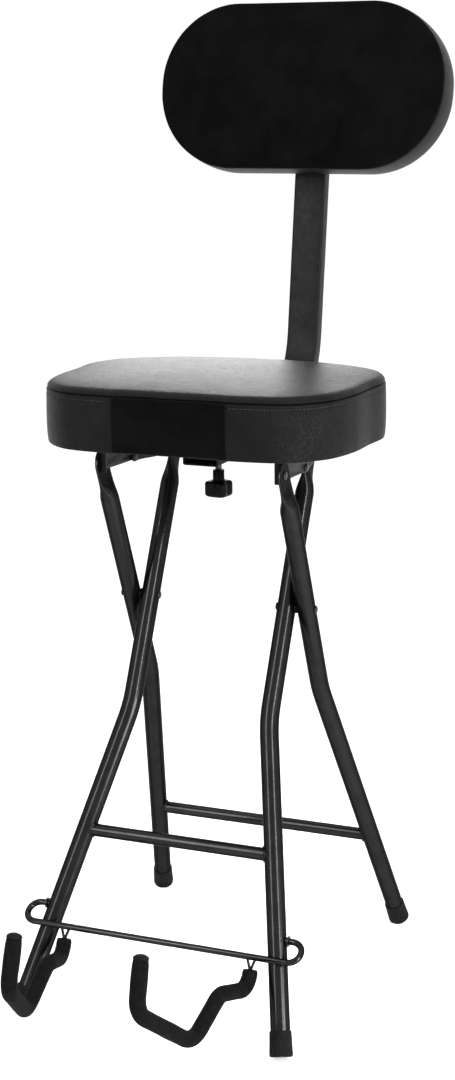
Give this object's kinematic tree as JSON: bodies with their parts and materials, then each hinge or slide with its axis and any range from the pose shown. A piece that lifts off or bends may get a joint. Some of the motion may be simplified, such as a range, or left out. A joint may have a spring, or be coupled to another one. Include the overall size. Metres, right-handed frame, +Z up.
{
  "type": "guitar stool",
  "caption": "Folding stool with a padded seat, a padded backrest that slides in and out, scissor legs and a wire cradle at the front that holds a guitar.",
  "frame": {"origin": "on the floor, under the middle of the stool's bounding box", "axes": "+Z up, -Y toward the front where the guitar cradle is, +X to the right as seen from the front"},
  "size_m": [0.3992, 0.8024, 1.2306],
  "materials": {
    "leg_paint": "satin black powder coat",
    "bracket_paint": "satin black powder coat",
    "bar_paint": "satin black powder coat",
    "wire_paint": "gloss black coat",
    "black_steel": "black oxide",
    "zinc": "zinc plated",
    "cover_leather": "grained artificial leather",
    "velvet": "short velvet pile",
    "cushion_foam": "open-cell foam",
    "plywood": "bare plywood",
    "foot_rubber": "matt moulded rubber",
    "sleeve_foam": "soft closed-cell foam",
    "plastic": "moulded nylon"
  },
  "bodies": {
    "rear_leg_frame": {"rear_leg_right": "leg_paint", "rear_leg_left": "leg_paint", "rear_rung": "leg_paint", "rear_foot_right": "foot_rubber", "rear_foot_left": "foot_rubber", "pivot_rivet_right": "black_steel", "pivot_rivet_left": "black_steel", "pivot_spacer_right": "plastic", "pivot_spacer_left": "plastic", "seat_pivot_rivet_right": "black_steel", "seat_pivot_rivet_left": "black_steel"},
    "front_leg_frame": {"front_leg_right": "leg_paint", "front_leg_left": "leg_paint", "front_rung": "leg_paint", "front_foot_right": "foot_rubber", "front_foot_left": "foot_rubber", "leg_top_rivet_right": "black_steel", "leg_top_rivet_left": "black_steel"},
    "seat": {"seat_board": "plywood", "seat_foam": "cushion_foam", "seat_cover": "cover_leather", "seat_front_panel": "velvet", "seat_rail_right": "bracket_paint", "seat_rail_left": "bracket_paint", "rail_screw_1": "zinc", "rail_screw_2": "zinc", "rail_screw_3": "zinc", "rail_screw_4": "zinc", "link_rivet_right": "black_steel", "link_rivet_left": "black_steel", "backrest_sleeve": "bracket_paint", "sleeve_screw_1": "zinc", "sleeve_screw_2": "zinc", "clamp_nut": "black_steel"},
    "fold_links": {"fold_link_right": "bracket_paint", "fold_link_left": "bracket_paint"},
    "backrest": {"backrest_bar": "bar_paint", "bar_lower_plug": "plastic", "bar_upper_plug": "plastic", "backrest_front_cover": "velvet", "backrest_side_cover": "cover_leather", "backrest_foam": "cushion_foam", "backrest_board": "plywood", "backrest_back_cover": "cover_leather", "backrest_bracket": "bracket_paint", "bracket_bolt_1": "black_steel", "bracket_bolt_2": "black_steel", "backrest_screw_1": "zinc", "backrest_screw_2": "zinc"},
    "clamp_knob": {"clamp_knob": "plastic", "clamp_stud": "black_steel"},
    "cradle": {"cradle_rod": "wire_paint", "cradle_arm_right": "wire_paint", "cradle_arm_left": "wire_paint", "arm_foam_right": "sleeve_foam", "arm_foam_left": "sleeve_foam", "arm_tip_cap_right": "foot_rubber", "arm_tip_cap_left": "foot_rubber", "cradle_push_nut_right": "black_steel", "cradle_push_nut_left": "black_steel"}
  },
  "joints": [
    {"name": "leg_fold", "type": "hinge", "parent": "rear_leg_frame", "child": "front_leg_frame", "pos_m": [0, 0.02902, 0.4885], "axis": [1, 0, 0], "range_deg": [0, 45]},
    {"name": "seat_fold", "type": "hinge", "parent": "rear_leg_frame", "child": "seat", "pos_m": [0, -0.05539, 0.6695], "axis": [1, 0, 0], "range_deg": [0, 109.4]},
    {"name": "link_fold", "type": "hinge", "parent": "seat", "child": "fold_links", "pos_m": [0, 0.02902, 0.6655], "axis": [1, 0, 0], "range_deg": [-173.7, 0]},
    {"name": "cradle_fold", "type": "hinge", "parent": "front_leg_frame", "child": "cradle", "pos_m": [0, -0.14049, 0.125], "axis": [1, 0, 0], "range_deg": [-90, 0]},
    {"name": "backrest_slide", "type": "slide", "parent": "seat", "child": "backrest", "axis": [0, 0.9997, 0.0262], "range_m": [-0.01, 0.04]},
    {"name": "knob_turn", "type": "hinge", "parent": "seat", "child": "clamp_knob", "pos_m": [0, 0.03206, 0.65927], "axis": [0, -0.0262, 0.9997], "continuous": true}
  ],
  "couplings": [
    {"joint": "seat_fold", "follows": "leg_fold", "ratio": 2.429},
    {"joint": "link_fold", "follows": "leg_fold", "ratio": -3.858}
  ]
}
